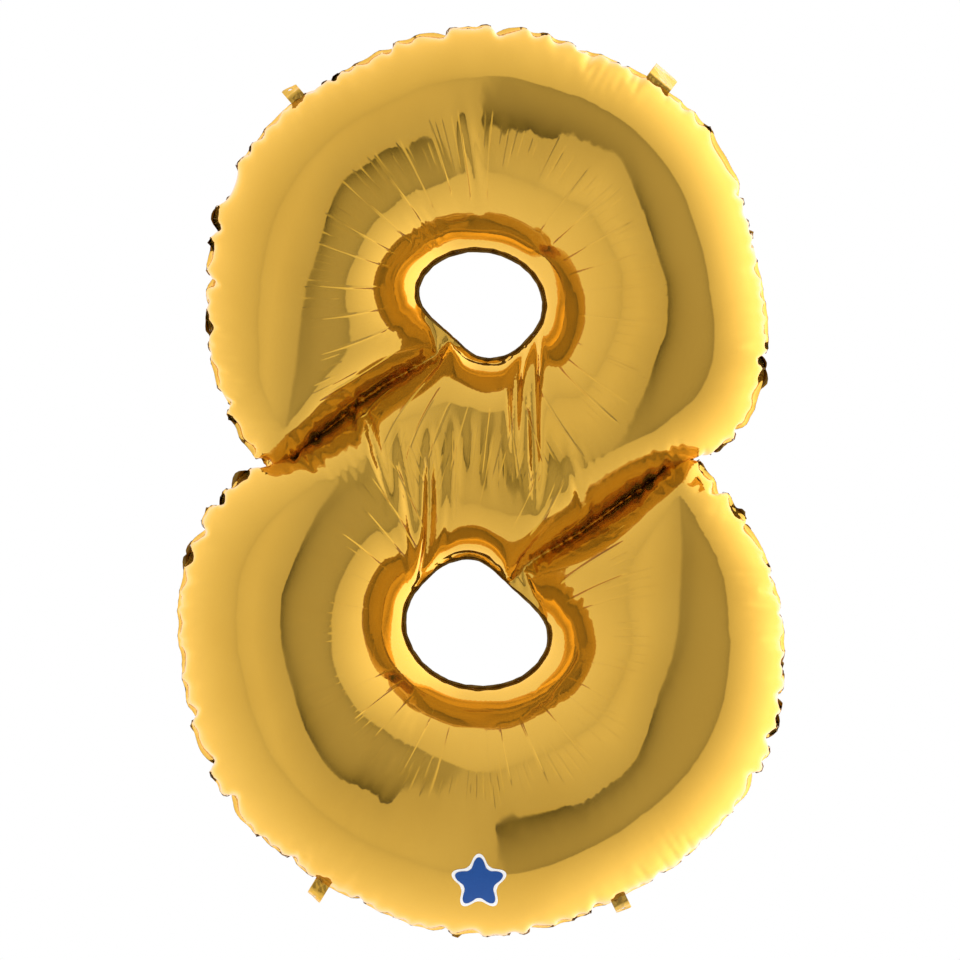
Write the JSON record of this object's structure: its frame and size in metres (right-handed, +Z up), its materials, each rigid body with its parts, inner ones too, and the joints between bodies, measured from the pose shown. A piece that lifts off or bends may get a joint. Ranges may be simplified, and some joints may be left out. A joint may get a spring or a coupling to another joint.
{
  "type": "foil number balloon",
  "caption": "Blown-up metallic gold foil balloon shaped as the figure eight, sealed round its outline, its holes and two slanting welds, with a filling tail and hanging tabs.",
  "frame": {"origin": "centre of the bounding box, in the plane of the rim between the two foil sheets", "axes": "+Z up along the height of the figure, +X to the right as the figure is read, the printed front faces -Y"},
  "size_m": [0.6139, 0.2086, 0.9084],
  "materials": {
    "foil_gold": "mirror-bright metallised gold film",
    "sealed_foil": "heat-sealed metallised gold film, satin",
    "valve_film": "thin clear film",
    "white_ink": "printed ink",
    "blue_ink": "printed ink"
  },
  "bodies": {
    "balloon": {"front_panel": "foil_gold", "back_panel": "foil_gold", "outer_seam": "sealed_foil", "upper_hole_seam": "sealed_foil", "lower_hole_seam": "sealed_foil", "left_weld": "sealed_foil", "right_weld": "sealed_foil", "valve_tongue_front": "valve_film", "valve_tongue_back": "valve_film", "badge_border": "white_ink", "badge_print": "blue_ink"},
    "filling_tail": {"tail_front": "foil_gold", "tail_back": "foil_gold", "valve_inlet_front": "valve_film", "valve_inlet_back": "valve_film"},
    "tab_upper_left": {"hanging_tab_upper_left": "sealed_foil"},
    "tab_lower_left": {"hanging_tab_lower_left": "sealed_foil"},
    "tab_lower_right": {"hanging_tab_lower_right": "sealed_foil"}
  },
  "joints": [
    {"name": "tail_fold", "type": "hinge", "parent": "balloon", "child": "filling_tail", "pos_m": [0.17847, 0, 0.39759], "axis": [0.7982, 0, -0.6024], "range_deg": [-10, 100], "stiffness_Nm_per_rad": 0.0008},
    {"name": "tab_fold_upper_left", "type": "hinge", "parent": "balloon", "child": "tab_upper_left", "pos_m": [-0.18709, 0, 0.38578], "axis": [0.7602, 0, 0.6497], "range_deg": [-15, 110], "stiffness_Nm_per_rad": 0.0003},
    {"name": "tab_fold_lower_left", "type": "hinge", "parent": "balloon", "child": "tab_lower_left", "pos_m": [-0.16286, 0, -0.40992], "axis": [-0.8563, 0, 0.5164], "range_deg": [-15, 110], "stiffness_Nm_per_rad": 0.0003},
    {"name": "tab_fold_lower_right", "type": "hinge", "parent": "balloon", "child": "tab_lower_right", "pos_m": [0.13952, 0, -0.42267], "axis": [-0.8974, 0, -0.4413], "range_deg": [-15, 110], "stiffness_Nm_per_rad": 0.0003}
  ]
}
